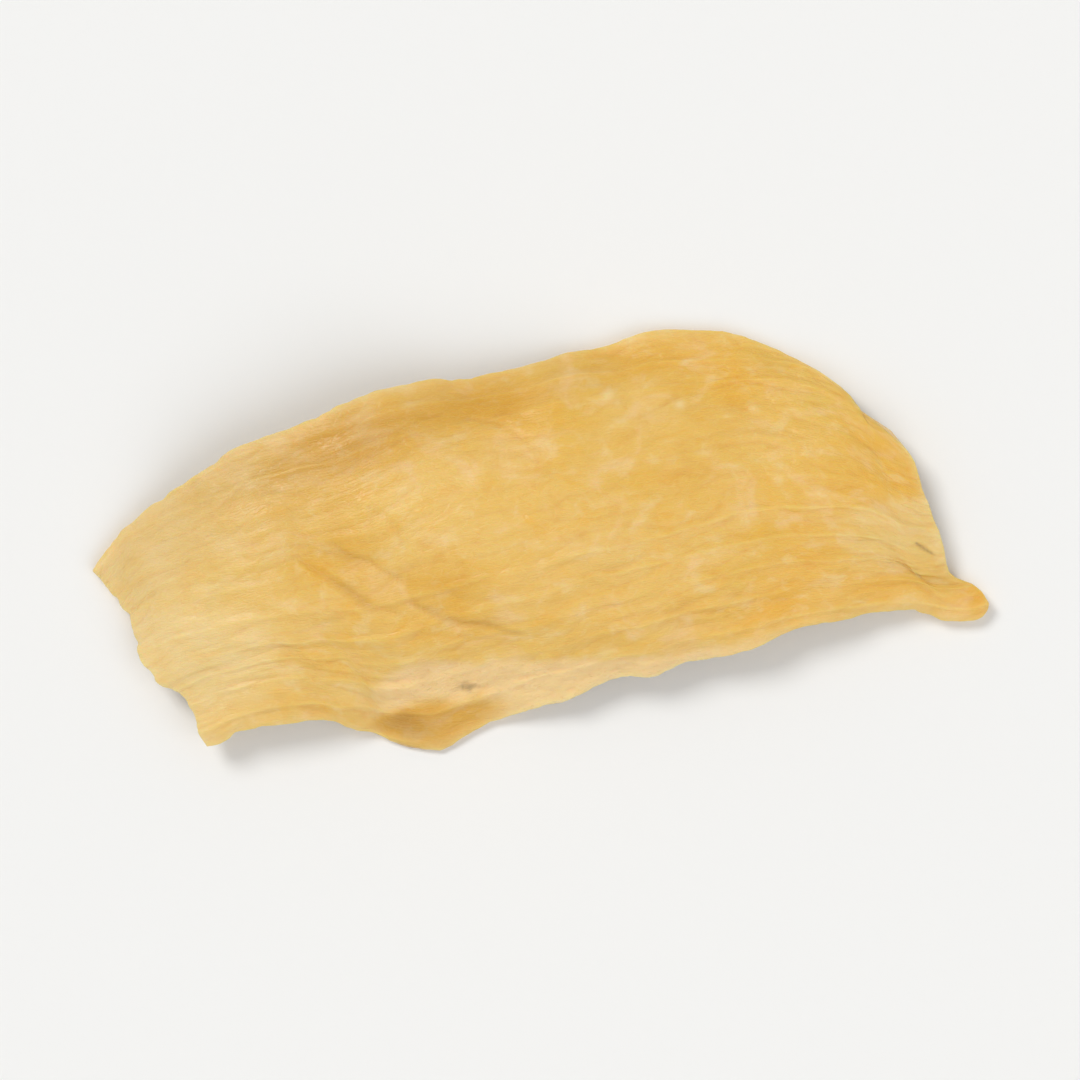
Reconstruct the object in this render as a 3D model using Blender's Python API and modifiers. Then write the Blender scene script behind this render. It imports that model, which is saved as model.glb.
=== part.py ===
"""Dried onion flake: one knife-cut piece of a bulb scale, dried to a thin arched sheet.

The flake lies with its convex side up. +X runs along the veins towards the narrow spur,
+Y across them, +Z up. The origin is in the middle of the flake's footprint, on the
surface that the flake rests on. Lengths below are in millimetres.
"""

import math

import bpy

MM = 0.001

# ---- driving dimensions -------------------------------------------------------------

THICKNESS = 0.72  # of the sheet, through its middle
MARGIN_THICKNESS = 0.44  # of the sheet at its outline
MARGIN_WIDTH = 1.5  # the strip over which the sheet thins to its margin
CROWN = 1.50  # rise of the middle over the margins
CROWN_SHARE = 0.95  # how full the crown is: below 1 is flatter on top
SETTLE = 0.09  # how far a resting spot is pressed in against the resting plane
SETTLE_BEND = 0.10  # how softly the sheet bends out of a resting spot

CAGE_ALONG = 40  # faces of the cage along the veins
CAGE_ACROSS = 15  # faces of the cage across them

# A drying crease: a shallow trough from one point to another, with its width and depth.
CREASE_FROM = (-6.2, -0.2)
CREASE_TO = (0.6, -2.9)
CREASE_WIDTH = 1.0
CREASE_DEPTH = 0.16

# A shallow valley inside the raised upper left margin.
VALLEY_FROM = (-7.2, 1.8)
VALLEY_TO = (-1.0, 3.4)
VALLEY_WIDTH = 0.9
VALLEY_DEPTH = 0.34

# ---- outline ------------------------------------------------------------------------
# Four margins, each as (x, y, height of the sheet's middle above the resting plane).

# the broad left end, from its lower corner up to the left tip
LEFT_MARGIN = [
    (-8.90, -5.56, 0.80),
    (-9.11, -5.24, 0.83),
    (-9.22, -4.98, 0.85),
    (-9.36, -4.59, 0.86),
    (-9.54, -4.24, 0.84),
    (-9.82, -3.98, 0.80),
    (-10.11, -3.84, 0.74),
    (-10.41, -3.56, 0.67),
    (-10.62, -3.23, 0.58),
    (-10.71, -2.80, 0.47),
    (-10.85, -2.44, 0.34),
    (-10.96, -2.08, 0.20),
    (-11.31, -1.72, 0.00),
    (-11.67, -1.28, -0.28),
    (-12.05, -0.84, -0.60),
]

# the upper margin, from the left tip over the notch and the round bulge
UPPER_MARGIN = [
    (-12.05, -0.84, -0.60),
    (-11.51, -0.09, -0.15),
    (-11.18, 0.31, 0.10),
    (-10.79, 0.58, 0.27),
    (-10.39, 0.91, 0.47),
    (-9.84, 1.28, 0.78),
    (-9.31, 1.61, 1.05),
    (-8.91, 1.85, 1.22),
    (-8.19, 2.44, 1.44),
    (-7.45, 2.74, 1.58),
    (-6.45, 3.10, 1.72),
    (-5.86, 3.29, 1.75),
    (-4.98, 3.73, 1.71),
    (-4.12, 4.05, 1.54),
    (-3.14, 4.16, 1.29),
    (-2.01, 4.23, 1.01),
    (-1.13, 4.40, 0.83),
    (-0.27, 4.69, 0.62),
    (0.44, 4.91, 0.39),
    (1.15, 5.04, 0.12),
    (1.73, 5.20, -0.12),
    (2.58, 5.57, -0.43),
    (3.29, 5.67, -0.63),
    (4.00, 5.69, -0.76),
    (4.71, 5.66, -0.80),
    (5.24, 5.56, -0.70),
    (5.72, 5.41, -0.53),
    (6.32, 5.15, -0.26),
    (6.90, 4.85, 0.04),
    (7.40, 4.55, 0.28),
    (7.81, 4.19, 0.46),
    (8.18, 3.81, 0.58),
    (8.57, 3.52, 0.70),
    (8.98, 3.24, 0.80),
    (9.42, 2.91, 0.88),
]

# the short right margin, down to the narrow spur
RIGHT_MARGIN = [
    (11.94, -2.03, -0.20),
    (12.05, -1.69, -0.15),
    (11.90, -1.39, -0.06),
    (11.57, -1.14, 0.08),
    (11.15, -0.94, 0.24),
    (10.94, -0.63, 0.38),
    (10.86, -0.26, 0.52),
    (10.77, 0.12, 0.64),
    (10.55, 0.63, 0.76),
    (10.36, 1.12, 0.84),
    (10.19, 1.62, 0.88),
    (9.98, 2.23, 0.90),
    (9.42, 2.91, 0.88),
]

# the lower cut, from the lower left corner past the down-turned lobe to the spur
LOWER_MARGIN = [
    (-8.90, -5.56, 0.80),
    (-8.32, -5.34, 0.90),
    (-7.94, -5.12, 0.95),
    (-7.29, -4.99, 1.00),
    (-6.59, -4.86, 0.98),
    (-5.98, -4.81, 0.85),
    (-5.52, -4.86, 0.62),
    (-5.12, -5.00, 0.38),
    (-4.53, -5.16, 0.05),
    (-3.88, -5.52, -0.52),
    (-3.16, -5.71, -0.76),
    (-2.58, -5.69, -0.66),
    (-1.97, -5.33, -0.40),
    (-1.30, -4.95, -0.05),
    (-0.48, -4.63, 0.36),
    (0.47, -4.34, 0.70),
    (1.38, -4.05, 0.86),
    (1.82, -3.84, 0.93),
    (2.41, -3.70, 0.99),
    (3.01, -3.72, 1.04),
    (3.82, -3.38, 1.10),
    (4.82, -3.17, 1.13),
    (5.53, -2.97, 1.13),
    (6.33, -2.57, 1.10),
    (7.22, -2.29, 1.00),
    (8.21, -2.15, 0.84),
    (8.71, -2.01, 0.71),
    (9.21, -1.94, 0.56),
    (9.79, -1.93, 0.37),
    (10.33, -2.05, 0.16),
    (10.78, -2.21, 0.00),
    (11.20, -2.26, -0.10),
    (11.58, -2.23, -0.19),
    (11.94, -2.03, -0.20),
]


# ---- curves and surface -------------------------------------------------------------


def smooth_curve(points, per_span=24):
    """Many points on a smooth curve through the given ones, each with its run so far."""

    def knot(a, b):
        return math.sqrt(max(1e-6, math.dist(a, b)))

    first = [2 * a - b for a, b in zip(points[0], points[1])]
    last = [2 * a - b for a, b in zip(points[-1], points[-2])]
    line = [first, *points, last]
    fine = []
    for i in range(1, len(line) - 2):
        p0, p1, p2, p3 = line[i - 1 : i + 3]
        t0 = 0.0
        t1 = t0 + knot(p0, p1)
        t2 = t1 + knot(p1, p2)
        t3 = t2 + knot(p2, p3)
        steps = per_span + (1 if i == len(line) - 3 else 0)
        for k in range(steps):
            t = t1 + (t2 - t1) * k / per_span
            point = []
            for a, b, c, d in zip(p0, p1, p2, p3):
                ab = a + (b - a) * (t - t0) / (t1 - t0)
                bc = b + (c - b) * (t - t1) / (t2 - t1)
                cd = c + (d - c) * (t - t2) / (t3 - t2)
                abc = ab + (bc - ab) * (t - t0) / (t2 - t0)
                bcd = bc + (cd - bc) * (t - t1) / (t3 - t1)
                point.append(abc + (bcd - abc) * (t - t1) / (t2 - t1))
            fine.append(point)
    run = [0.0]
    for a, b in zip(fine, fine[1:]):
        run.append(run[-1] + math.dist(a, b))
    return fine, run


def along(curve, share):
    """The point at a share of the curve's length."""
    fine, run = curve
    want = min(max(share, 0.0), 1.0) * run[-1]
    low, high = 0, len(run) - 1
    while high - low > 1:
        middle = (low + high) // 2
        if run[middle] <= want:
            low = middle
        else:
            high = middle
    span = run[high] - run[low]
    f = 0.0 if span <= 0 else (want - run[low]) / span
    return [a + (b - a) * f for a, b in zip(fine[low], fine[high])]


LEFT, UPPER = smooth_curve(LEFT_MARGIN), smooth_curve(UPPER_MARGIN)
RIGHT, LOWER = smooth_curve(RIGHT_MARGIN), smooth_curve(LOWER_MARGIN)


def patch(u, v):
    """The sheet that the four margins span: u from left to right, v from lower to upper."""
    low, high = along(LOWER, u), along(UPPER, u)
    left, right = along(LEFT, v), along(RIGHT, v)
    c00, c10 = LOWER_MARGIN[0], LOWER_MARGIN[-1]
    c01, c11 = UPPER_MARGIN[0], UPPER_MARGIN[-1]
    return [
        (1 - v) * low[i]
        + v * high[i]
        + (1 - u) * left[i]
        + u * right[i]
        - (1 - u) * (1 - v) * c00[i]
        - u * (1 - v) * c10[i]
        - (1 - u) * v * c01[i]
        - u * v * c11[i]
        for i in range(3)
    ]


def off_segment(x, y, start, end):
    """Distance of a point from a straight segment, seen from above."""
    dx, dy = end[0] - start[0], end[1] - start[1]
    t = ((x - start[0]) * dx + (y - start[1]) * dy) / (dx * dx + dy * dy)
    t = min(max(t, 0.0), 1.0)
    return math.hypot(x - start[0] - t * dx, y - start[1] - t * dy)


def trough(x, y, start, end, width, depth):
    return depth * math.exp(-((off_segment(x, y, start, end) / width) ** 2))


def fullness(x, y):
    """How full the tissue is: 0 on the outline, 1 where the sheet has its whole thickness."""
    nearest = min(
        math.hypot(x - p[0], y - p[1])
        for curve in (LEFT, UPPER, RIGHT, LOWER)
        for p in curve[0]
    )
    return math.sin(min(1.0, nearest / MARGIN_WIDTH) * math.pi / 2)


def half_thickness(full):
    return (MARGIN_THICKNESS + (THICKNESS - MARGIN_THICKNESS) * full) / 2


def sheet(u, v):
    """A point on the middle of the sheet, in millimetres, and how full the tissue is there."""
    x, y, z = patch(u, v)
    if 0 < u < 1 and 0 < v < 1:
        z += CROWN * (math.sin(math.pi * u) * math.sin(math.pi * v)) ** CROWN_SHARE
    inside = min(1.0, 4.0 * min(u, 1 - u, v, 1 - v))
    z -= inside * trough(x, y, CREASE_FROM, CREASE_TO, CREASE_WIDTH, CREASE_DEPTH)
    z -= inside * trough(x, y, VALLEY_FROM, VALLEY_TO, VALLEY_WIDTH, VALLEY_DEPTH)
    full = fullness(x, y)
    # where the sheet would sink into the surface below, it lies level on it instead
    level = half_thickness(full) - SETTLE
    over = (z - level) / SETTLE_BEND
    z = level + SETTLE_BEND * (over if over > 30 else math.log1p(math.exp(over)))
    return x, y, z, full


# ---- model --------------------------------------------------------------------------

for old in list(bpy.data.objects):
    bpy.data.objects.remove(old, do_unlink=True)

flakes = bpy.data.collections.new("dried_onion_flake")
bpy.context.scene.collection.children.link(flakes)

# The open sheet: a flat grid bent to the flake's outline and arch.
bpy.ops.mesh.primitive_grid_add(
    x_subdivisions=CAGE_ALONG, y_subdivisions=CAGE_ACROSS, size=1.0
)
flake = bpy.context.active_object
flake.name = "onion_flake"
for other in list(flake.users_collection):
    other.objects.unlink(flake)
flakes.objects.link(flake)

thick = flake.vertex_groups.new(name="full_thickness")
for vertex in flake.data.vertices:
    u, v = vertex.co.x + 0.5, vertex.co.y + 0.5
    x, y, z, full = sheet(u, v)
    vertex.co = (x * MM, y * MM, z * MM)
    thick.add([vertex.index], full, "REPLACE")

# The tissue's thickness, thinner towards the outline.
solid = flake.modifiers.new("tissue", "SOLIDIFY")
solid.thickness = THICKNESS * MM
solid.offset = 0.0
solid.use_even_offset = True
solid.vertex_group = thick.name
solid.thickness_vertex_group = MARGIN_THICKNESS / THICKNESS

# Rounded margins.
soft = flake.modifiers.new("soft_margin", "SUBSURF")
soft.levels = soft.render_levels = 1

# The spots that the flake rests on are level, as they dried against a flat tray.
formed = bpy.data.meshes.new_from_object(
    flake.evaluated_get(bpy.context.evaluated_depsgraph_get())
)
flake.modifiers.clear()
open_sheet, flake.data = flake.data, formed
bpy.data.meshes.remove(open_sheet)
formed.name = "onion_flake"
for vertex in formed.vertices:
    vertex.co.z = max(vertex.co.z, 0.0)
formed.shade_smooth()

# ---- finish -------------------------------------------------------------------------

tissue = bpy.data.materials.new("dried_onion_tissue")
tissue.use_nodes = True
shader = tissue.node_tree.nodes["Principled BSDF"]
shader.inputs["Base Color"].default_value = (0.80, 0.50, 0.13, 1.0)
shader.inputs["Roughness"].default_value = 0.52
shader.inputs["Metallic"].default_value = 0.0
tissue.diffuse_color = (0.80, 0.50, 0.13, 1.0)
flake.data.materials.append(tissue)
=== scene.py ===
"""Looks of the dried onion flake: its fine surface, its finish, a pale floor and soft light."""

import math

import bmesh
import bpy
import numpy as np
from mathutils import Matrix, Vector


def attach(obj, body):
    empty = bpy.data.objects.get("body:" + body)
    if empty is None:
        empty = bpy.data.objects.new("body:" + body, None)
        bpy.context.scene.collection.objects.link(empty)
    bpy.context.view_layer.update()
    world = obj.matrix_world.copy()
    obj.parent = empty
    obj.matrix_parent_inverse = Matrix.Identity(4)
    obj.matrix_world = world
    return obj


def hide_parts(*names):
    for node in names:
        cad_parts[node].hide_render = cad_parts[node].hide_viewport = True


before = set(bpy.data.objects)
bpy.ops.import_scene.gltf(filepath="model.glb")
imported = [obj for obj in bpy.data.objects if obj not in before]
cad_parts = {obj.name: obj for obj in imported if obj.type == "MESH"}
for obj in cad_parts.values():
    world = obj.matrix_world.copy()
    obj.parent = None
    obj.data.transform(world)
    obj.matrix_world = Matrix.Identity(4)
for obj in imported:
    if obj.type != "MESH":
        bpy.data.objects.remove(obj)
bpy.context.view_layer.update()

MM = 0.001

# =====================================================================================
# The sheet, in millimetres: the same margins, crown and troughs as the solid has.
# =====================================================================================

THICKNESS = 0.72
MARGIN_THICKNESS = 0.44
MARGIN_WIDTH = 1.5
CROWN = 1.50
CROWN_SHARE = 0.95
SETTLE = 0.09
SETTLE_BEND = 0.10

CREASE = ((-6.2, -0.2), (0.6, -2.9), 1.0, 0.16)
VALLEY = ((-7.2, 1.8), (-1.0, 3.4), 0.9, 0.34)

LEFT_MARGIN = [
    (-8.90, -5.56, 0.80),
    (-9.11, -5.24, 0.83),
    (-9.22, -4.98, 0.85),
    (-9.36, -4.59, 0.86),
    (-9.54, -4.24, 0.84),
    (-9.82, -3.98, 0.80),
    (-10.11, -3.84, 0.74),
    (-10.41, -3.56, 0.67),
    (-10.62, -3.23, 0.58),
    (-10.71, -2.80, 0.47),
    (-10.85, -2.44, 0.34),
    (-10.96, -2.08, 0.20),
    (-11.31, -1.72, 0.00),
    (-11.67, -1.28, -0.28),
    (-12.05, -0.84, -0.60),
]

UPPER_MARGIN = [
    (-12.05, -0.84, -0.60),
    (-11.51, -0.09, -0.15),
    (-11.18, 0.31, 0.10),
    (-10.79, 0.58, 0.27),
    (-10.39, 0.91, 0.47),
    (-9.84, 1.28, 0.78),
    (-9.31, 1.61, 1.05),
    (-8.91, 1.85, 1.22),
    (-8.19, 2.44, 1.44),
    (-7.45, 2.74, 1.58),
    (-6.45, 3.10, 1.72),
    (-5.86, 3.29, 1.75),
    (-4.98, 3.73, 1.71),
    (-4.12, 4.05, 1.54),
    (-3.14, 4.16, 1.29),
    (-2.01, 4.23, 1.01),
    (-1.13, 4.40, 0.83),
    (-0.27, 4.69, 0.62),
    (0.44, 4.91, 0.39),
    (1.15, 5.04, 0.12),
    (1.73, 5.20, -0.12),
    (2.58, 5.57, -0.43),
    (3.29, 5.67, -0.63),
    (4.00, 5.69, -0.76),
    (4.71, 5.66, -0.80),
    (5.24, 5.56, -0.70),
    (5.72, 5.41, -0.53),
    (6.32, 5.15, -0.26),
    (6.90, 4.85, 0.04),
    (7.40, 4.55, 0.28),
    (7.81, 4.19, 0.46),
    (8.18, 3.81, 0.58),
    (8.57, 3.52, 0.70),
    (8.98, 3.24, 0.80),
    (9.42, 2.91, 0.88),
]

RIGHT_MARGIN = [
    (11.94, -2.03, -0.20),
    (12.05, -1.69, -0.15),
    (11.90, -1.39, -0.06),
    (11.57, -1.14, 0.08),
    (11.15, -0.94, 0.24),
    (10.94, -0.63, 0.38),
    (10.86, -0.26, 0.52),
    (10.77, 0.12, 0.64),
    (10.55, 0.63, 0.76),
    (10.36, 1.12, 0.84),
    (10.19, 1.62, 0.88),
    (9.98, 2.23, 0.90),
    (9.42, 2.91, 0.88),
]

LOWER_MARGIN = [
    (-8.90, -5.56, 0.80),
    (-8.32, -5.34, 0.90),
    (-7.94, -5.12, 0.95),
    (-7.29, -4.99, 1.00),
    (-6.59, -4.86, 0.98),
    (-5.98, -4.81, 0.85),
    (-5.52, -4.86, 0.62),
    (-5.12, -5.00, 0.38),
    (-4.53, -5.16, 0.05),
    (-3.88, -5.52, -0.52),
    (-3.16, -5.71, -0.76),
    (-2.58, -5.69, -0.66),
    (-1.97, -5.33, -0.40),
    (-1.30, -4.95, -0.05),
    (-0.48, -4.63, 0.36),
    (0.47, -4.34, 0.70),
    (1.38, -4.05, 0.86),
    (1.82, -3.84, 0.93),
    (2.41, -3.70, 0.99),
    (3.01, -3.72, 1.04),
    (3.82, -3.38, 1.10),
    (4.82, -3.17, 1.13),
    (5.53, -2.97, 1.13),
    (6.33, -2.57, 1.10),
    (7.22, -2.29, 1.00),
    (8.21, -2.15, 0.84),
    (8.71, -2.01, 0.71),
    (9.21, -1.94, 0.56),
    (9.79, -1.93, 0.37),
    (10.33, -2.05, 0.16),
    (10.78, -2.21, 0.00),
    (11.20, -2.26, -0.10),
    (11.58, -2.23, -0.19),
    (11.94, -2.03, -0.20),
]


def smooth_curve(points, per_span=40):
    """A smooth curve through the points: its fine points, and the share of its length at each."""
    p = np.array(points, float)
    line = np.vstack([2 * p[0] - p[1], p, 2 * p[-1] - p[-2]])
    fine = []
    for i in range(1, len(line) - 2):
        p0, p1, p2, p3 = line[i - 1 : i + 3]
        t1 = math.sqrt(np.linalg.norm(p1 - p0))
        t2 = t1 + math.sqrt(np.linalg.norm(p2 - p1))
        t3 = t2 + math.sqrt(np.linalg.norm(p3 - p2))
        for k in range(per_span + (i == len(line) - 3)):
            t = t1 + (t2 - t1) * k / per_span
            ab = p0 + (p1 - p0) * t / t1
            bc = p1 + (p2 - p1) * (t - t1) / (t2 - t1)
            cd = p2 + (p3 - p2) * (t - t2) / (t3 - t2)
            abc = ab + (bc - ab) * t / t2
            bcd = bc + (cd - bc) * (t - t1) / (t3 - t1)
            fine.append(abc + (bcd - abc) * (t - t1) / (t2 - t1))
    fine = np.array(fine)
    run = np.r_[0, np.cumsum(np.linalg.norm(np.diff(fine, axis=0), axis=1))]
    return fine, run / run[-1], run[-1]


def along(curve, share):
    fine, run, _ = curve
    s = np.clip(share, 0, 1)
    return np.stack([np.interp(s, run, fine[:, k]) for k in range(3)], -1)


LEFT, UPPER = smooth_curve(LEFT_MARGIN), smooth_curve(UPPER_MARGIN)
RIGHT, LOWER = smooth_curve(RIGHT_MARGIN), smooth_curve(LOWER_MARGIN)
OUTLINE = np.vstack([c[0][::2, :2] for c in (LEFT, UPPER, RIGHT, LOWER)])
C00, C10 = np.array(LOWER_MARGIN[0]), np.array(LOWER_MARGIN[-1])
C01, C11 = np.array(UPPER_MARGIN[0]), np.array(UPPER_MARGIN[-1])


def patch(u, v):
    U, V = u[..., None], v[..., None]
    return (
        (1 - V) * along(LOWER, u)
        + V * along(UPPER, u)
        + (1 - U) * along(LEFT, v)
        + U * along(RIGHT, v)
        - (1 - U) * (1 - V) * C00
        - U * (1 - V) * C10
        - (1 - U) * V * C01
        - U * V * C11
    )


def off_segment(x, y, a, b):
    """Distance from a segment seen from above, and the share along it."""
    dx, dy = b[0] - a[0], b[1] - a[1]
    t = np.clip(((x - a[0]) * dx + (y - a[1]) * dy) / (dx * dx + dy * dy), 0, 1)
    return np.hypot(x - a[0] - t * dx, y - a[1] - t * dy), t


def to_outline(x, y):
    """Distance to the nearest point of the outline, seen from above."""
    flat = np.stack([x.ravel(), y.ravel()], -1)
    out = np.empty(len(flat))
    for k in range(0, len(flat), 4000):
        part = flat[k : k + 4000]
        d2 = ((part[:, None, :] - OUTLINE[None]) ** 2).sum(-1)
        out[k : k + 4000] = np.sqrt(d2.min(1))
    return out.reshape(x.shape)


# how full the tissue is, looked up from a table over the sheet
TABLE_U, TABLE_V = 240, 120
_u, _v = np.meshgrid(
    np.linspace(0, 1, TABLE_U + 1), np.linspace(0, 1, TABLE_V + 1), indexing="ij"
)
_p = patch(_u, _v)
INSET = to_outline(_p[..., 0], _p[..., 1])


def from_table(table, u, v):
    a = np.clip(u, 0, 1) * TABLE_U
    b = np.clip(v, 0, 1) * TABLE_V
    i = np.minimum(a.astype(int), TABLE_U - 1)
    j = np.minimum(b.astype(int), TABLE_V - 1)
    f, g = a - i, b - j
    return (
        table[i, j] * (1 - f) * (1 - g)
        + table[i + 1, j] * f * (1 - g)
        + table[i, j + 1] * (1 - f) * g
        + table[i + 1, j + 1] * f * g
    )


def half_thickness(u, v):
    full = np.sin(np.minimum(1, from_table(INSET, u, v) / MARGIN_WIDTH) * math.pi / 2)
    return (MARGIN_THICKNESS + (THICKNESS - MARGIN_THICKNESS) * full) / 2


def middle(u, v):
    """The middle of the sheet."""
    p = patch(u, v)
    x, y, z = p[..., 0], p[..., 1], p[..., 2].copy()
    ridge = np.clip(np.sin(math.pi * u), 0, 1) * np.clip(np.sin(math.pi * v), 0, 1)
    z += CROWN * ridge**CROWN_SHARE
    inside = np.clip(4 * np.minimum(np.minimum(u, 1 - u), np.minimum(v, 1 - v)), 0, 1)
    for a, b, width, depth in (CREASE, VALLEY):
        d, _ = off_segment(x, y, a, b)
        z -= inside * depth * np.exp(-((d / width) ** 2))
    level = half_thickness(u, v) - SETTLE
    z = level + SETTLE_BEND * np.logaddexp(0, (z - level) / SETTLE_BEND)
    return np.stack([x, y, z], -1)


# =====================================================================================
# Repeatable noise over the plane
# =====================================================================================


def hashed(ix, iy, seed):
    """A number from 0 to 1 for each cell of a lattice, always the same."""
    h = (ix.astype(np.int64) * 374761393 + iy.astype(np.int64) * 668265263) & 0xFFFFFFFF
    h = (h + seed * 974634777) & 0xFFFFFFFF
    h = ((h ^ (h >> 13)) * 1274126177) & 0xFFFFFFFF
    h = ((h ^ (h >> 16)) * 2246822519) & 0xFFFFFFFF
    return ((h ^ (h >> 15)) & 0xFFFFFF) / float(0xFFFFFF)


def noise(x, y, seed=0):
    """Smooth gradient noise, about -1 to 1, with features of about 1 unit."""
    x = x + 0.0 * y
    y = y + 0.0 * x
    ix, iy = np.floor(x), np.floor(y)
    fx, fy = x - ix, y - iy
    wx = fx * fx * fx * (fx * (fx * 6 - 15) + 10)
    wy = fy * fy * fy * (fy * (fy * 6 - 15) + 10)
    corner = []
    for a in (0, 1):
        for b in (0, 1):
            turn = hashed(ix + a, iy + b, seed) * 2 * math.pi
            corner.append(np.cos(turn) * (fx - a) + np.sin(turn) * (fy - b))
    low = corner[0] * (1 - wy) + corner[1] * wy
    high = corner[2] * (1 - wy) + corner[3] * wy
    return 1.5 * (low * (1 - wx) + high * wx)


def layered(x, y, seed=0, octaves=4, gain=0.5, step=2.03):
    total, size = 0.0, 1.0
    for k in range(octaves):
        total = total + size * noise(x * step**k + 17.3 * k, y * step**k - 9.1 * k, seed + k)
        size *= gain
    return total


def cells(x, y, seed=0, jitter=0.9):
    """Distance to the nearest scattered point."""
    ix, iy = np.floor(x), np.floor(y)
    first = np.full(x.shape, 9.0)
    for a in (-1, 0, 1):
        for b in (-1, 0, 1):
            px = ix + a + 0.5 + jitter * (hashed(ix + a, iy + b, seed) - 0.5)
            py = iy + b + 0.5 + jitter * (hashed(ix + a, iy + b, seed + 7) - 0.5)
            first = np.minimum(first, np.hypot(x - px, y - py))
    return first


def step_up(x, low, high):
    t = np.clip((x - low) / (high - low), 0, 1)
    return t * t * (3 - 2 * t)


# =====================================================================================
# The fine grid
# =====================================================================================

INNER_ALONG, INNER_ACROSS = 232, 180
# The rim's section, from its middle up on to the face: inset from the outline, and height
# as a share of half the thickness. Between its two skins the tissue has shrunk back.
SHRINK = 0.07  # the fine sheet ends this far inside the margin lines
RIM_INSET = SHRINK + np.array([0.024, 0.018, 0.006, 0.000, 0.011, 0.036, 0.078, 0.140])
RIM_HEIGHT = np.array([0.00, 0.32, 0.62, 0.83, 0.94, 0.985, 0.998, 1.00])
RIM = len(RIM_INSET) - 1


def rows(inner):
    """For each grid line: its share of the way across, its rim inset at either side, and its height share."""
    n = inner + 2 * RIM + 1
    share = np.zeros(n)
    near, far = np.full(n, np.nan), np.full(n, np.nan)
    height = np.ones(n)
    near[: RIM + 1] = RIM_INSET
    far[-RIM - 1 :] = RIM_INSET[::-1]
    height[: RIM + 1] = RIM_HEIGHT
    height[-RIM - 1 :] = RIM_HEIGHT[::-1]
    share[RIM : n - RIM] = np.linspace(0, 1, inner + 1)
    share[n - RIM :] = 1.0
    return share, near, far, height


def inset_lines(line, width):
    """Distance from the near margin of every grid line, where the sheet is that wide."""
    share, near, far, _ = line
    last = RIM_INSET[-1]
    low = last + share * (width - 2 * last)
    low = np.where(np.isnan(near), low, near)
    low = np.where(np.isnan(far), low, width - far)
    return low


U_LINE, V_LINE = rows(INNER_ALONG), rows(INNER_ACROSS)
NU, NV = len(U_LINE[0]), len(V_LINE[0])
u0 = np.linspace(0, 1, NU)[:, None] * np.ones((1, NV))
v0 = np.linspace(0, 1, NV)[None, :] * np.ones((NU, 1))
for _ in range(3):
    across = np.linalg.norm(along(UPPER, u0) - along(LOWER, u0), axis=-1)
    length = np.linalg.norm(along(RIGHT, v0) - along(LEFT, v0), axis=-1)
    d_low = inset_lines([np.broadcast_to(a[None, :], (NU, NV)) for a in V_LINE], across)
    d_left = inset_lines([np.broadcast_to(a[:, None], (NU, NV)) for a in U_LINE], length)
    u0, v0 = np.clip(d_left / length, 0, 1), np.clip(d_low / across, 0, 1)

d_up, d_right = across - d_low, length - d_left
rise = U_LINE[3][:, None] * V_LINE[3][None, :]

# The margins are slightly ragged: small torn bites and fibres.
run_lower, run_upper = u0 * LOWER[2], u0 * UPPER[2]
run_left, run_right = v0 * LEFT[2], v0 * RIGHT[2]


def ragged(run, seed, size):
    """How far a margin is set back at a run along it."""
    slow = layered(run / 0.95, seed + 0.5, seed, 3, 0.55)
    bite = np.clip(noise(run / 0.42, 5.5, seed + 20) - 0.30, 0, 1)
    return size * (0.050 * slow + 0.11 * bite)


FADE = 0.35
bite_low = ragged(run_lower, 31, 1.0) * np.exp(-np.maximum(d_low - SHRINK, 0) / FADE)
bite_up = ragged(run_upper, 32, 0.75) * np.exp(-np.maximum(d_up - SHRINK, 0) / FADE)
bite_left = ragged(run_left, 33, 1.0) * np.exp(-np.maximum(d_left - SHRINK, 0) / FADE)
bite_right = ragged(run_right, 34, 0.9) * np.exp(-np.maximum(d_right - SHRINK, 0) / FADE)
u = (d_left + bite_left - bite_right) / length
v = (d_low + bite_low - bite_up) / across

mid = middle(u, v)
EPS = 0.004
along_u = middle(np.minimum(u + EPS, 1), v) - middle(np.maximum(u - EPS, 0), v)
along_v = middle(u, np.minimum(v + EPS, 1)) - middle(u, np.maximum(v - EPS, 0))
normal = np.cross(along_u, along_v)
normal /= np.linalg.norm(normal, axis=-1, keepdims=True)

x, y = mid[..., 0], mid[..., 1]
half = half_thickness(u, v)
nearest = np.minimum(np.minimum(d_low, d_up), np.minimum(d_left, d_right))
edge = nearest - SHRINK
run_near = np.where(
    nearest == d_low,
    run_lower,
    np.where(
        nearest == d_up, run_upper + 40, np.where(nearest == d_left, run_left + 80, run_right + 120)
    ),
)

# Coordinates that follow the veins: s along them, t across, in millimetres.
TILT = math.radians(9)
s = 0.5 * u * 22.0 + 0.5 * ((x + 11) * math.cos(TILT) + y * math.sin(TILT))
t = 0.60 * (v - 0.5) * 9.6 + 0.40 * (y * math.cos(TILT) - x * math.sin(TILT))
t = t + 0.20 * noise(s / 6.0, t / 3.5, 3) + 0.05 * noise(s / 1.7, t / 1.4, 4)


def turned(angle, long_unit, short_unit):
    """Coordinates for noise that is drawn out at an angle to the veins."""
    c, n = math.cos(math.radians(angle)), math.sin(math.radians(angle))
    return (s * c + t * n) / long_unit, (t * c - s * n) / short_unit


def spot(px, py, rx, ry, turn=0.0):
    """A soft round or oval place on the flake, 1 in its middle."""
    c, n = math.cos(math.radians(turn)), math.sin(math.radians(turn))
    a = ((x - px) * c + (y - py) * n) / rx
    b = (-(x - px) * n + (y - py) * c) / ry
    return np.exp(-(a * a + b * b))


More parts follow.
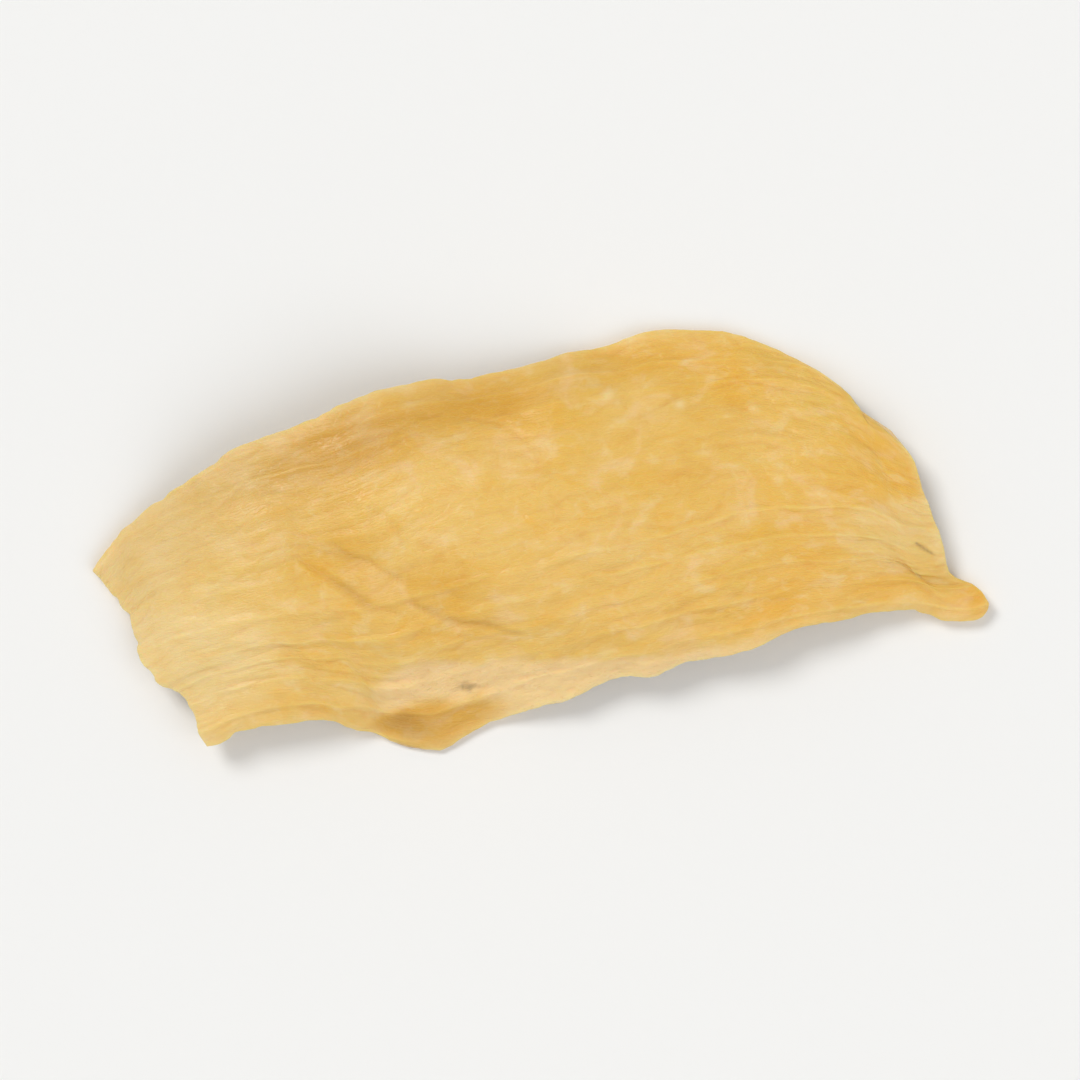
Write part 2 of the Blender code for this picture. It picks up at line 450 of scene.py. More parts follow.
def line_mark(points, width):
    """A soft line through the points, 1 on the line, thinning out at both ends."""
    mark = np.zeros_like(x)
    parts = len(points) - 1
    for k, (a, b) in enumerate(zip(points, points[1:])):
        d, share = off_segment(x, y, a, b)
        whole = (k + share) / parts
        w = width * (0.35 + 0.65 * np.sin(np.clip(whole, 0.02, 0.98) * math.pi))
        mark = np.maximum(mark, np.exp(-((d / w) ** 2)) * np.minimum(1, 2.5 * np.sin(whole * math.pi) + 0.1))
    return mark


# ---- parts of the surface that look different ----------------------------------------

# The lower margin was cut at a slant: the skin ends along a line, and below it the pale
# inner tissue slopes down to a thin lip, which ends in a lobe.
CUT_LINE = np.array(
    [
        (-6.0, -4.6),
        (-5.2, -4.0),
        (-4.6, -3.6),
        (-3.9, -3.25),
        (-3.0, -3.05),
        (-1.5, -3.0),
        (0.0, -3.02),
        (1.2, -3.0),
        (2.5, -2.95),
        (3.5, -2.88),
        (4.4, -2.72),
        (5.4, -2.50),
        (6.5, -2.15),
        (7.5, -2.0),
    ]
)
fray = 0.13 * layered(x / 1.3, y / 1.6, 51, 2) + 0.05 * layered(x / 0.35, y / 0.6, 52, 3)
below = np.interp(x, CUT_LINE[:, 0], CUT_LINE[:, 1]) - y + fray
cut_share = step_up(x, -5.2, -3.6) * (1 - step_up(x, 4.2, 6.8))
slant = cut_share * step_up(below, 0.0, 0.95)
skin_step = cut_share * step_up(below, -0.05, 0.10)
ends_left = 1 - step_up(x, -1.8, -0.2)
band = cut_share * step_up(below, -0.10, 0.28) * (1 - ends_left * step_up(below, 0.85, 1.35))
lobe = ends_left * step_up(x, -5.3, -4.2) * step_up(below, 0.95, 1.45)

# A patch at the right end where a film of skin has come off.
peel_edge = 0.98 + 0.13 * (x - 8.0) + 0.05 * layered(x / 0.6, 3.0, 61, 3)
peel_low = -0.55 + 0.30 * noise(x / 1.3, y / 1.3, 62)
peel = (
    step_up(x + 0.5 * noise(x / 0.9, y / 0.6, 63), 7.3, 9.0)
    * (1 - step_up(y, peel_edge - 0.30, peel_edge + 0.02))
    * step_up(y, peel_low - 0.6, peel_low + 0.6)
)
peel_step = (
    step_up(x, 7.6, 8.8)
    * (1 - step_up(y, peel_edge - 0.05, peel_edge + 0.05))
    * step_up(y, peel_edge - 1.6, peel_edge - 0.4)
)

# ---- relief of the two faces -----------------------------------------------------------

# veins: ridges along the sheet, about a millimetre apart
VEIN_GAP = 0.86
phase = t / VEIN_GAP + 0.34 * noise(t * 0.45, s * 0.05, 5)
lane = np.floor(phase)
vein_strength = 0.30 + 0.70 * hashed(lane, lane * 0, 9)
off_vein = (phase - lane - 0.5) * VEIN_GAP + 0.030 * noise(s / 0.9, lane * 3.1, 10)
vein = vein_strength * np.exp(-((off_vein / 0.070) ** 2))
vein *= np.clip(0.75 + 0.60 * noise(s / 3.1, lane * 1.7, 11), 0, 1)
vein_wide = vein_strength * np.exp(-((off_vein / 0.20) ** 2)) * (0.75 + 0.35 * noise(s / 3.3, lane * 2.3, 13))
furrow = layered(s / 4.2 + 0.3 * noise(s / 1.6, t / 1.1, 17), t / 0.40, 18, 2, 0.5)

# drying wrinkles: broad swells, then sharp little folds in patches
swell = layered(s / 3.6, t / 1.5, 12, 3, 0.5)
a, b = turned(-13, 2.1, 0.62)
fold_patch = np.clip(0.55 + 0.9 * noise(s / 3.1, t / 2.1, 27), 0, 1)
fold = (1 - np.abs(noise(a + 0.25 * noise(s / 0.9, t / 0.9, 28), b, 29))) ** 5
a, b = turned(12, 2.6, 0.48)
fold_long = (1 - np.abs(noise(a, b + 0.3 * noise(s / 1.2, t / 1.0, 25), 26))) ** 6
a, b = turned(-52, 0.75, 0.34)
crepe = layered(a, b, 15, 2, 0.5)
pucker = layered(s / 0.50, t / 0.42, 16, 2, 0.55)
grit = layered(s / 0.30, t / 0.19, 21, 2, 0.6)

# the creases that show most
creases = (
    1.00 * line_mark([(-6.6, -0.45), (-5.9, -0.85), (-5.2, -1.25), (-4.4, -1.7), (-3.5, -1.95)], 0.13)
    + 0.70 * line_mark([(-5.6, 0.1), (-5.0, -0.35), (-4.3, -0.6), (-3.4, -1.15)], 0.10)
    + 0.60 * line_mark([(-3.6, -1.5), (-2.6, -1.95), (-1.4, -2.1), (-0.3, -2.35)], 0.11)
    + 0.55 * line_mark([(-4.6, 0.95), (-3.9, 0.5), (-3.5, -0.2)], 0.09)
    + 0.75 * line_mark([(-7.4, 1.75), (-6.2, 2.45), (-5.0, 2.95), (-3.8, 3.15), (-2.6, 3.2)], 0.17)
    + 0.50 * line_mark([(-2.2, 3.1), (-1.3, 2.95), (-0.5, 2.6), (0.2, 2.0)], 0.10)
    + 0.45 * line_mark([(0.9, 0.1), (2.1, 0.4), (3.4, 0.3), (4.4, 0.65)], 0.09)
    + 0.50 * line_mark([(4.6, 3.9), (5.3, 4.15), (6.0, 4.05)], 0.12)
    + 0.45 * line_mark([(1.8, -2.0), (3.1, -1.75), (4.6, -1.8), (6.1, -1.45)], 0.10)
    + 0.40 * line_mark([(-8.9, -4.2), (-7.9, -3.7), (-6.9, -3.55)], 0.11)
)

between = 1 - vein_wide
cross = noise(s / 0.34 + 0.4 * noise(s / 1.3, t / 0.9, 34), t / 0.85, 35)
calm = 1 - 0.55 * spot(-4.6, 2.5, 3.2, 1.3, 20)
top = (
    0.090 * calm * swell
    + 0.046 * vein
    + 0.032 * vein_wide
    + 0.012 * furrow
    - 0.036 * calm * fold_patch * fold
    - 0.034 * (1 - 0.5 * fold_patch) * fold_long
    + 0.006 * crepe
    + 0.012 * between * cross * np.clip(0.5 + noise(s / 2.2, t / 1.5, 36), 0, 1)
    + 0.011 * pucker
    + 0.005 * grit
    - 0.075 * creases
)
# the margin's skin has dried up into a slightly raised lip
lip_ridge = np.exp(-(((edge - 0.15) / 0.12) ** 2)) * (0.6 + 0.5 * noise(s / 1.1, t / 1.1, 24))
top += 0.022 * lip_ridge * (1 - band)

soft_pores = cells(x / 0.36, y / 0.24, 71)
pore = 1 - step_up(soft_pores, 0.05, 0.55)
pale_tissue = layered(x / 0.60, y / 0.34, 74, 3, 0.6)
fibres = layered(x / 1.1, y / 0.13 + 0.6 * noise(x / 0.8, y / 0.8, 76), 78, 2, 0.5)
top += band * (0.030 * pale_tissue - 0.016 * pore + 0.012 * fibres - 0.010 * swell)
top -= 0.028 * peel_step
top += peel * 0.016 * layered(s / 1.1, t / 0.16, 77, 2)
# a few raised specks
specks = (
    0.9 * spot(1.72, 3.56, 0.20, 0.15, 20)
    + 0.7 * spot(2.0, 3.42, 0.12, 0.12)
    + 1.0 * spot(3.68, 3.44, 0.15, 0.13)
    + 0.8 * spot(5.72, 3.36, 0.16, 0.10, -20)
    + 0.6 * spot(6.32, 1.52, 0.15, 0.12, 15)
    + 0.5 * spot(-3.55, 1.28, 0.20, 0.12, 10)
    + 0.5 * spot(4.62, 0.02, 0.15, 0.10)
)
top += 0.045 * specks

drop = 0.125 * slant + 0.030 * skin_step

# a small pit in the slanted cut, and a crack near the right end
pit_d = np.hypot((x + 1.92) / 0.40, (y + 3.84 - 0.06 * (x + 1.9) + 0.05 * noise(x / 0.2, y / 0.2, 82)) / 0.13)
pit = np.exp(-(pit_d**2)) * (0.75 + 0.35 * noise(x / 0.16, y / 0.2, 83))
top -= 0.06 * pit
crack = line_mark([(9.95, 0.03), (10.2, -0.16), (10.55, -0.36)], 0.065)
top -= 0.08 * crack

low = (
    0.055 * layered(s / 2.6 + 40, t / 1.2, 41, 3, 0.5)
    + 0.055 * vein_wide
    + 0.040 * vein
    + 0.018 * furrow
    - 0.055 * (1 - np.abs(noise(s / 1.5 + 9, t / 0.55, 43))) ** 5
    + 0.012 * layered(s / 0.7, t / 0.4, 46, 2, 0.6)
    + 0.006 * layered(s / 0.3, t / 0.18, 47, 2, 0.6)
)
away = step_up(edge, 0.05, 0.45)
detail = step_up(rise, 0.2, 1.0)
# the margin waves a little out of the sheet and has dried thinner in places, but not where
# it rests
lifted = step_up(mid[..., 2] - half, 0.05, 0.45)
wave = layered(run_near / 1.5, 2.5, 101, 2, 0.5) * np.exp(-edge / 0.55) * lifted
thinner = np.clip(0.42 + 0.9 * noise(run_near / 1.9, 6.5, 103), 0, 1) * np.exp(-edge / 0.80) * lifted
top_height = (half - drop) * rise + top * detail
low_height = half * (1 - 0.55 * thinner) * rise + low * detail * away

# the pores of the cut rim, between the two skins
rim_share = 1 - step_up(rise, 0.55, 0.95)
rim_bumps = layered(run_near / 0.34, rise * 2.0 + 3, 91, 3, 0.6)
rim_holes = cells(run_near / 0.24, rise * 1.6 + 7, 94)
shrunk = np.clip(0.35 + 0.9 * noise(run_near / 1.3, 4.5, 96), 0, 1) * (1 - rise**2)
rim_in = rim_share * (0.026 * rim_bumps + 0.036 * (1 - step_up(rim_holes, 0.1, 0.5)) + 0.045 * shrunk)

# outward direction at the margins, in the sheet
du = along_u / np.linalg.norm(along_u, axis=-1, keepdims=True)
dv = along_v / np.linalg.norm(along_v, axis=-1, keepdims=True)
toward = [np.exp((SHRINK - d) / 0.10) for d in (d_low, d_up, d_left, d_right)]
push = dv * (toward[0] - toward[1])[..., None] + du * (toward[2] - toward[3])[..., None]
push_size = np.maximum(np.linalg.norm(push, axis=-1, keepdims=True), 1.0)
rim_move = push / push_size * rim_in[..., None]

base = mid + rim_move + normal * (0.11 * wave)[..., None]
upper_face = base + normal * top_height[..., None]
lower_face = base - normal * low_height[..., None]
upper_face[..., 2] = np.maximum(upper_face[..., 2], 0.03)
lower_face[..., 2] = np.maximum(lower_face[..., 2], 0.0)

# ---- the mesh --------------------------------------------------------------------------

top_id = np.arange(NU * NV).reshape(NU, NV)
low_id = top_id.copy()
low_id[1:-1, 1:-1] = NU * NV + np.arange((NU - 2) * (NV - 2)).reshape(NU - 2, NV - 2)


def both(upper_values, lower_values):
    """Values for all vertices: the whole upper face, then the inside of the lower one."""
    shape = (-1,) + upper_values.shape[2:]
    return np.concatenate(
        [upper_values.reshape(shape), lower_values[1:-1, 1:-1].reshape(shape)]
    )


def quads(ids, flip):
    a, b = ids[:-1, :-1], ids[1:, :-1]
    c, d = ids[1:, 1:], ids[:-1, 1:]
    order = (a, d, c, b) if flip else (a, b, c, d)
    return np.stack([o.ravel() for o in order], -1)


places = both(upper_face, lower_face) * MM
faces = np.vstack([quads(top_id, False), quads(low_id, True)])

mesh = bpy.data.meshes.new("onion_flake_skin")
mesh.vertices.add(len(places))
mesh.vertices.foreach_set("co", places.astype(np.float32).ravel())
mesh.loops.add(faces.size)
mesh.loops.foreach_set("vertex_index", faces.astype(np.int32).ravel())
mesh.polygons.add(len(faces))
mesh.polygons.foreach_set("loop_start", np.arange(0, faces.size, 4, dtype=np.int32))
mesh.update(calc_edges=True)
mesh.validate()

# the corner between the upper and the right margin is rounded a little by wear
corner = Vector(upper_face[-1, -1] * MM)
worn = bmesh.new()
worn.from_mesh(mesh)
for reach, rounds in ((0.80, 5), (0.60, 6), (0.40, 6)):
    near = [p for p in worn.verts if (p.co - corner).length < reach * MM]
    for _ in range(rounds):
        bmesh.ops.smooth_vert(
            worn, verts=near, factor=0.5, use_axis_x=True, use_axis_y=True, use_axis_z=True
        )
worn.to_mesh(mesh)
worn.free()
mesh.shade_smooth()

flake = bpy.data.objects.new("onion_flake_skin", mesh)
bpy.context.scene.collection.objects.link(flake)


def attribute(name, upper_values, lower_values):
    values = both(upper_values, lower_values)
    kind = "FLOAT" if values.ndim == 1 else "FLOAT_VECTOR"
    field = mesh.attributes.new(name, kind, "POINT")
    field.data.foreach_set(
        "value" if kind == "FLOAT" else "vector", values.astype(np.float32).ravel()
    )


zero = np.zeros_like(s)
attribute(
    "grain",
    np.stack([s, t, rise * 0.25], -1),
    np.stack([s + 60, t, -rise * 0.25], -1),
)
rim_mask = 1 - step_up(rise, 0.45, 0.95)
attribute("rim", rim_mask, rim_mask)
attribute("vein", vein, vein * 0.7)
attribute("cut", band, zero)
# painted shade: this mask darkens the pit and the crack in the colour
attribute("pit", np.clip(pit + 0.60 * crack, 0, 1), zero)
# painted shade: the folds and creases are darkened towards amber in the colour
painted_crease_shade = np.clip(0.55 * fold_patch * fold + 0.35 * fold_long + 0.9 * creases, 0, 1)
attribute("painted_crease_shade", painted_crease_shade, 0.4 * painted_crease_shade)

# pale places: the broad left end, the lower left corner, the margins, the patch at the right, the lip under
# the slanted cut, and the specks; lit_rim is a painted highlight along the upper-left margin
drift = 0.30 * noise(x / 1.6, y / 1.4, 111) + 0.18 * noise(x / 0.6, y / 0.6, 112)
near_margin = np.exp(-((edge / 0.24) ** 2)) * (0.75 + 0.35 * noise(run_near / 0.8, 1.5, 113))
# painted highlight: the upper-left margin is made paler where it catches the light
lit_rim = step_up(y - 0.42 * x, 5.2, 6.0) * (1 - step_up(x, -4.4, -2.6)) * np.exp(-((edge / 0.34) ** 2))
pale = (
    0.95 * step_up(-x + 0.15 * y + 1.3 * drift, 5.8, 10.4)
    + 1.05 * spot(-8.8, -3.4, 1.7, 1.3, 20)
    + 0.25 * spot(-7.7, 2.2, 0.8, 0.5, 25)
    + 0.58 * peel
    + 0.76 * band
    + 0.55 * near_margin
    + 0.55 * lit_rim
    + 0.28 * lobe * np.exp(-((edge / 0.42) ** 2))
    - 0.45 * spot(11.6, -1.50, 0.6, 0.50, -5)
    + 0.30 * spot(10.6, -1.60, 0.7, 0.30, -10)
    - 0.20 * spot(8.6, 1.4, 1.2, 0.4, 0)
    + 0.22 * spot(-2.4, 1.3, 2.0, 0.9, 15)
    + 0.20 * spot(5.4, 2.3, 1.6, 0.9, 0)
    + 1.1 * specks
)
attribute("pale", np.clip(pale, 0, 1.1), np.clip(0.30 + 0.5 * pale, 0, 1))

# deep gold where the tissue is denser
amber = (
    0.80 * spot(5.1, 4.1, 0.75, 0.60, 0)
    + 0.45 * spot(4.3, 4.7, 2.2, 0.7, -4)
    + 0.55 * spot(6.7, -1.1, 1.1, 0.85, 10)
    + 0.35 * spot(5.0, -1.6, 2.6, 0.7, 8)
    + 0.85 * spot(6.1, -1.85, 0.8, 0.40, 20)
    + 1.00 * spot(9.0, -1.15, 1.1, 0.42, 0)
    + 1.10 * spot(11.6, -1.50, 0.6, 0.50, -5)
    + 0.45 * spot(10.6, -1.65, 0.7, 0.40, -5)
    + 0.50 * spot(8.6, 1.45, 1.3, 0.42, 0)
    + 0.30 * spot(7.2, 0.2, 1.2, 1.0, 0)
    + 0.20 * spot(9.2, -0.5, 1.2, 0.5, 0)
    + 0.22 * spot(5.2, 1.0, 2.2, 1.2, 0)
    + 0.60 * spot(-3.2, -5.0, 1.3, 0.55, -5)
    + 1.10 * lobe
    + 0.40 * spot(-3.4, -1.6, 2.6, 1.2, -10)
    + 0.25 * spot(0.8, -1.7, 1.6, 0.8, 5)
    + 0.50 * spot(-2.3, -1.0, 1.0, 0.7, 0)
    + 0.40 * spot(-5.0, 0.0, 0.8, 0.6, -20)
    + 0.60 * spot(8.7, 2.7, 0.9, 0.6, -45)
    + 1.00 * spot(-1.6, 3.50, 1.7, 0.55, 8)
    + 0.50 * spot(-0.6, 3.2, 1.6, 0.9, 15)
    + 0.40 * spot(-5.2, 2.45, 1.3, 0.6, 20)
    + 0.60 * spot(-6.0, -0.75, 0.45, 0.30, -30)
    + 0.35 * spot(-5.2, -0.9, 1.0, 0.6, -30)
    + 0.35 * spot(-2.3, -2.4, 1.4, 0.5, -5)
    + 0.30 * spot(1.7, -2.4, 0.7, 0.4, 0)
    + 0.95 * spot(-4.7, 2.3, 1.8, 0.9, 18)
    + 0.30 * spot(9.4, 1.9, 0.6, 0.9, 10)
    + 0.50 * spot(2.5, 4.5, 1.6, 0.6, 5)
    + 0.25 * spot(3.0, 2.0, 5.0, 3.0, 5)
    - 0.30 * step_up(-x, 6.5, 9.0)
)
attribute("amber", amber, 0.5 * amber)

# painted shade: greyish tan on the lower-left lobe, over the upper-left part and its valley, along the
# creases, and in small marks elsewhere
painted_shade = (
    0.85 * lobe * spot(-3.65, -4.80, 0.60, 0.32, -8)
    + 0.36 * lobe * (1 - np.exp(-((edge / 0.5) ** 2)))
    + 0.50 * spot(-5.15, -1.20, 0.40, 0.13, -28)
    + 0.45 * spot(-4.60, -1.65, 0.38, 0.12, -28)
    + 0.28 * spot(-5.2, -0.30, 0.5, 0.2, -20)
    + 0.30 * spot(-5.5, 3.05, 0.9, 0.16, 25)
    + 0.66 * spot(-4.7, 2.6, 2.2, 0.85, 18)
    + 0.60 * spot(-1.5, 3.45, 1.9, 0.65, 8)
    + 0.20 * spot(2.3, 4.6, 2.0, 0.6, 8)
    + 0.16 * spot(-2.3, -1.0, 0.9, 0.6, 0)
    + 0.34 * spot(-7.2, 1.7, 1.8, 0.9, 25)
    + 0.30 * spot(-9.4, 0.8, 3.0, 1.3, 38)
    + 0.12 * spot(-10.6, -1.0, 1.4, 1.4, 0)
    + 0.22 * spot(6.1, 4.7, 0.5, 0.25, -30)
    + 0.25 * spot(-3.1, -3.35, 0.3, 0.25, 60)
    + 0.22 * spot(10.0, 0.30, 0.35, 0.15, -20)
    + 0.22 * spot(10.8, -1.0, 0.4, 0.2, -10)
    + 0.14 * spot(11.5, -1.45, 0.5, 0.35, -5)
    + 0.15 * spot(-3.0, -5.2, 1.1, 0.5, -5)
    + 0.17 * spot(-6.6, 0.0, 2.0, 1.2, 25)
    + 0.22 * spot(-5.1, 1.9, 1.5, 0.9, 20)
    + 0.25 * lobe
    + 0.08 * spot(-3.4, -1.4, 2.8, 1.2, -10)
    + 0.10 * spot(-5.0, 0.0, 0.9, 0.7, 0)
    + 0.35 * line_mark([(-3.6, -1.5), (-2.4, -1.95), (-1.2, -2.1), (-0.3, -2.3)], 0.16)
)
attribute("painted_shade", painted_shade, 0.3 * painted_shade)

# =====================================================================================
# Finish
# =====================================================================================


def linear(r, g, b):
    """A colour given as it looks on a screen."""
    return tuple(
        c / 12.92 if c <= 0.04045 else ((c + 0.055) / 1.055) ** 2.4
        for c in (r / 255, g / 255, b / 255)
    ) + (1.0,)


class Graph:
    """Short calls for the nodes of one material."""

    def __init__(self, material):
        material.use_nodes = True
        self.tree = material.node_tree
        self.tree.nodes.clear()

    def node(self, kind, **settings):
        made = self.tree.nodes.new(kind)
        for name, value in settings.items():
            setattr(made, name, value)
        return made

    def put(self, socket, value):
        if isinstance(value, bpy.types.NodeSocket):
            self.tree.links.new(value, socket)
        else:
            socket.default_value = value

    def read(self, name, vector=False):
        made = self.node("ShaderNodeAttribute", attribute_name=name)
        return made.outputs["Vector" if vector else "Fac"]

    def math(self, operation, a, b=None, clamp=False):
        made = self.node("ShaderNodeMath", operation=operation, use_clamp=clamp)
        self.put(made.inputs[0], a)
        if b is not None:
            self.put(made.inputs[1], b)
        return made.outputs[0]

    def stretch(self, vector, scale, shift=(0, 0, 0), turn=0.0):
        made = self.node("ShaderNodeMapping")
        self.put(made.inputs["Vector"], vector)
        made.inputs["Scale"].default_value = scale
        made.inputs["Location"].default_value = shift
        made.inputs["Rotation"].default_value = (0, 0, math.radians(turn))
        return made.outputs[0]

    def noise(self, vector, scale=1.0, detail=3.0, rough=0.5, warp=0.0, flat=False):
        made = self.node("ShaderNodeTexNoise", noise_dimensions="2D" if flat else "3D")
        self.put(made.inputs["Vector"], vector)
        made.inputs["Scale"].default_value = scale
        made.inputs["Detail"].default_value = detail
        made.inputs["Roughness"].default_value = rough
        made.inputs["Distortion"].default_value = warp
        return made.outputs["Fac"]

    def voronoi(self, vector, feature="F1", random=1.0, flat=False):
        made = self.node(
            "ShaderNodeTexVoronoi", feature=feature, voronoi_dimensions="2D" if flat else "3D"
        )
        self.put(made.inputs["Vector"], vector)
        made.inputs["Scale"].default_value = 1.0
        made.inputs["Randomness"].default_value = random
        return made.outputs["Distance"]

    def ramp(self, value, low, high, out_low=0.0, out_high=1.0):
        made = self.node("ShaderNodeMapRange", interpolation_type="SMOOTHSTEP", clamp=True)
        self.put(made.inputs["Value"], value)
        made.inputs["From Min"].default_value = low
        made.inputs["From Max"].default_value = high
        made.inputs["To Min"].default_value = out_low
        made.inputs["To Max"].default_value = out_high
        return made.outputs["Result"]

    def mix(self, factor, a, b, blend="MIX"):
        made = self.node("ShaderNodeMix", data_type="RGBA", blend_type=blend)
        made.clamp_factor = True
        self.put(made.inputs["Factor"], factor)
        self.put(made.inputs[6], a)
        self.put(made.inputs[7], b)
        return made.outputs[2]


tissue = bpy.data.materials.new("dried_onion_tissue")
g = Graph(tissue)
grain = g.read("grain", vector=True)

GOLD = linear(232, 190, 92)
HONEY = linear(235, 181, 66)
AMBER = linear(223, 160, 54)
STRAW = linear(235, 200, 120)
CREAM = linear(240, 215, 156)
CHALK = linear(238, 211, 150)
ROSE = linear(241, 204, 147)
BLUSH = linear(253, 214, 160)
SHADE_TAN = linear(188, 139, 52)
SHADE_BROWN = linear(140, 104, 62)
OLIVE = linear(217, 187, 92)

# large drifts of hue, and the places that are deeper or paler
drift = g.noise(g.stretch(grain, (0.24, 0.40, 1.0)), 1.0, 3.0, 0.55, 0.6)
colour = g.mix(g.ramp(drift, 0.40, 0.66, 0.0, 0.60), GOLD, STRAW)
colour = g.mix(g.ramp(drift, 0.46, 0.30, 0.0, 0.40), colour, OLIVE)
colour = g.mix(g.math("MULTIPLY", g.read("amber"), 0.80, clamp=True), colour, HONEY)

# cloudy patches where the dried cells hold air
cloud = g.noise(g.stretch(grain, (0.90, 1.15, 1.0), (3, 8, 0)), 1.0, 3.0, 0.55, 0.7)
colour = g.mix(g.ramp(cloud, 0.50, 0.74, 0.0, 0.60), colour, ROSE)
colour = g.mix(g.ramp(cloud, 0.48, 0.26, 0.0, 0.60), colour, HONEY)

# small mottling, drawn out a little along the veins
mottle = g.noise(g.stretch(grain, (1.5, 1.9, 1.0), (13, 5, 0), 3), 1.0, 3.0, 0.58, 0.3)
colour = g.mix(g.ramp(mottle, 0.52, 0.72, 0.0, 0.42), colour, CREAM)
colour = g.mix(g.ramp(mottle, 0.46, 0.26, 0.0, 0.32), colour, AMBER)

# veins, and painted shade in the folds and creases
colour = g.mix(g.math("MULTIPLY", g.read("vein"), 0.26), colour, STRAW)
colour = g.mix(g.math("MULTIPLY", g.read("painted_crease_shade"), 0.24), colour, AMBER)

# pale places, broken up by the same mottling; they include the painted highlight along the upper-left margin
pale = g.read("pale")
broken = g.ramp(mottle, 0.30, 0.64, 0.70, 1.0)
colour = g.mix(g.math("MULTIPLY", g.math("MULTIPLY", pale, broken), 0.80, clamp=True), colour, CHALK)
cut_read, rim_read = g.read("cut"), g.read("rim")
open_tissue = g.math("MAXIMUM", cut_read, rim_read)
colour = g.mix(g.math("MULTIPLY", open_tissue, 0.52), colour, BLUSH)
# painted shade: the shade mask darkens the colour towards greyish tan
colour = g.mix(g.math("MULTIPLY", g.read("painted_shade"), 0.62, clamp=True), colour, SHADE_TAN)

# fine ribs along the sheet
ribs = g.noise(g.stretch(grain, (0.42, 8.5, 1.0), (2, 9, 0)), 1.0, 2.0, 0.55, 0.15, True)
colour = g.mix(g.ramp(ribs, 0.52, 0.72, 0.0, 0.06), colour, STRAW)
colour = g.mix(g.ramp(ribs, 0.46, 0.28, 0.0, 0.04), colour, AMBER)

# the pores of the open tissue
pores = g.voronoi(g.stretch(grain, (6.0, 8.0, 14.0)), "F1", 1.0)
fine_pore = g.math("MULTIPLY", g.ramp(pores, 0.10, 0.36, 1.0, 0.0), open_tissue)
# painted shade: the pores of the open tissue are darkened towards amber
colour = g.mix(g.math("MULTIPLY", fine_pore, 0.10), colour, AMBER)
# painted shade: the pit and the crack are darkened towards brown
colour = g.mix(g.ramp(g.read("pit"), 0.10, 0.90, 0.0, 0.60), colour, SHADE_BROWN)

# the skin's long cells
wall = g.voronoi(g.stretch(grain, (2.9, 11.5, 1.0), (0, 0, 0), 4), "DISTANCE_TO_EDGE", 0.9, True)
colour = g.mix(g.ramp(wall, 0.0, 0.15, 0.06, 0.0), colour, CREAM)

# gloss: the skin is satin, the open tissue dull
rough = g.ramp(cloud, 0.3, 0.7, 0.34, 0.52)
rough = g.math("ADD", rough, g.math("MULTIPLY", open_tissue, 0.25), clamp=True)

# relief finer than the mesh
small = g.noise(g.stretch(grain, (7.0, 11.0, 12.0)), 1.0, 3.0, 0.62, 0.4)
height = g.math("MULTIPLY", g.ramp(wall, 0.0, 0.22), 0.007)
height = g.math("ADD", height, g.math("MULTIPLY", small, 0.018))
height = g.math("ADD", height, g.math("MULTIPLY", ribs, 0.012))
height = g.math("SUBTRACT", height, g.math("MULTIPLY", fine_pore, 0.012))
bump = g.node("ShaderNodeBump")
bump.inputs["Strength"].default_value = 0.75
bump.inputs["Distance"].default_value = MM
g.put(bump.inputs["Height"], height)

shader = g.node("ShaderNodeBsdfPrincipled")
g.put(shader.inputs["Base Color"], colour)
g.put(shader.inputs["Roughness"], rough)
g.put(shader.inputs["Normal"], bump.outputs["Normal"])
shader.inputs["Subsurface Weight"].default_value = 0.45
shader.inputs["Subsurface Radius"].default_value = (1.0, 0.60, 0.24)
shader.inputs["Subsurface Scale"].default_value = 0.50 * MM
shader.inputs["IOR"].default_value = 1.45
shader.inputs["Specular IOR Level"].default_value = 0.50
shader.inputs["Coat Weight"].default_value = 0.12
shader.inputs["Coat Roughness"].default_value = 0.36
out = g.node("ShaderNodeOutputMaterial")
g.tree.links.new(shader.outputs["BSDF"], out.inputs["Surface"])
mesh.materials.append(tissue)

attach(flake, "root")
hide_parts("onion_flake")

# =====================================================================================
# Floor, light and camera
# =====================================================================================

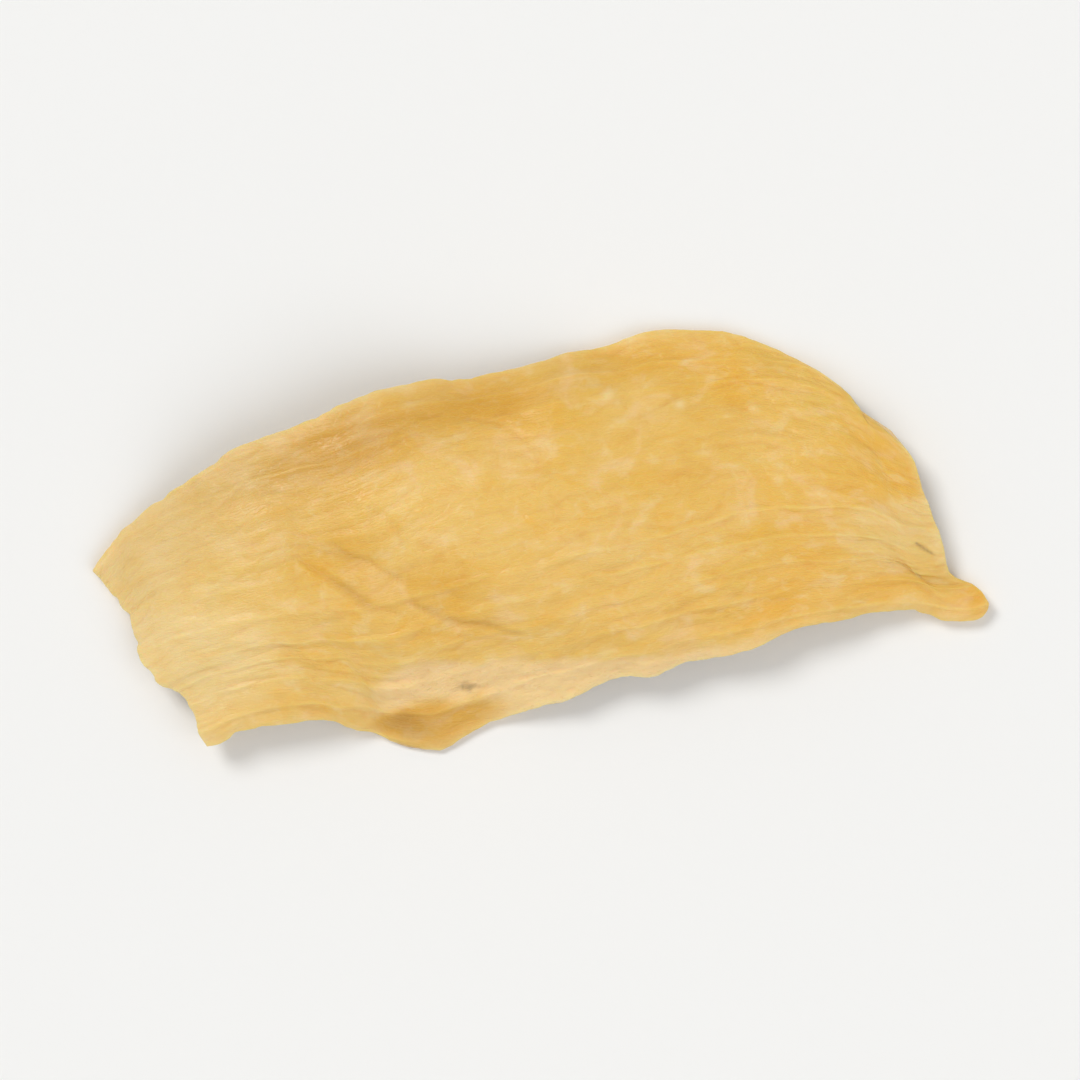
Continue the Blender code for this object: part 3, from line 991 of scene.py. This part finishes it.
# A pale round floor that curves up into a low wall, so that it has no horizon.
FLOOR, BEND, WALL = 0.80, 0.15, 0.24
profile = [(0.0, 0.0), (0.05, 0.0), (0.20, 0.0), (FLOOR, 0.0)]
profile += [
    (FLOOR + BEND * math.sin(a), BEND * (1 - math.cos(a)))
    for a in (math.radians(7.5 * k) for k in range(1, 13))
]
profile.append((FLOOR + BEND, WALL))
TURN = 96
floor_verts = [(0.0, 0.0, 0.0)]
for r, h in profile[1:]:
    for k in range(TURN):
        a = 2 * math.pi * k / TURN
        floor_verts.append((r * math.cos(a), r * math.sin(a), h))
floor_faces = [(0, 1 + k, 1 + (k + 1) % TURN) for k in range(TURN)]
for ring in range(len(profile) - 2):
    a0, b0 = 1 + ring * TURN, 1 + (ring + 1) * TURN
    for k in range(TURN):
        n = (k + 1) % TURN
        floor_faces.append((a0 + k, b0 + k, b0 + n, a0 + n))
floor_mesh = bpy.data.meshes.new("floor")
floor_mesh.from_pydata(floor_verts, [], floor_faces)
floor_mesh.shade_smooth()
floor = bpy.data.objects.new("floor", floor_mesh)
bpy.context.scene.collection.objects.link(floor)
plain = bpy.data.materials.new("pale_floor")
plain.use_nodes = True
paint = plain.node_tree.nodes["Principled BSDF"]
paint.inputs["Base Color"].default_value = (0.88, 0.88, 0.87, 1.0)
paint.inputs["Roughness"].default_value = 1.0
paint.inputs["Specular IOR Level"].default_value = 0.0
floor_mesh.materials.append(plain)


def broad_light(name, place, spread, power, colour=(1, 1, 1)):
    """A large, far, soft source that shines from that direction on to the middle."""
    data = bpy.data.lights.new(name, "SUN")
    data.angle = math.radians(spread)
    data.energy = power
    data.color = colour
    lamp = bpy.data.objects.new(name, data)
    lamp.location = place
    lamp.rotation_mode = "QUATERNION"
    lamp.rotation_quaternion = (-Vector(place)).to_track_quat("-Z", "Y")
    bpy.context.scene.collection.objects.link(lamp)


broad_light("key", (-0.23, 0.23, 0.40), 24, 1.42, (1.0, 0.99, 0.97))
broad_light("fill", (0.22, -0.26, 0.44), 60, 0.97, (0.99, 0.995, 1.0))

world = bpy.data.worlds.new("soft_room")
bpy.context.scene.world = world
world.use_nodes = True
sky = world.node_tree.nodes["Background"]
sky.inputs["Color"].default_value = (1.0, 1.0, 1.0, 1.0)
sky.inputs["Strength"].default_value = 0.42

bpy.context.scene.view_settings.view_transform = "Standard"

camera = bpy.data.cameras.new("camera")
camera.lens = 300
camera.sensor_width = 36
camera.clip_start = 0.002
camera.clip_end = 5.0
FRAME_WIDTH = 29.0 * MM
rig = bpy.data.objects.new("camera", camera)
rig.location = (0.0, 0.0, FRAME_WIDTH * camera.lens / camera.sensor_width)
rig.rotation_euler = (0.0, 0.0, 0.0)
bpy.context.scene.collection.objects.link(rig)
bpy.context.scene.camera = rig
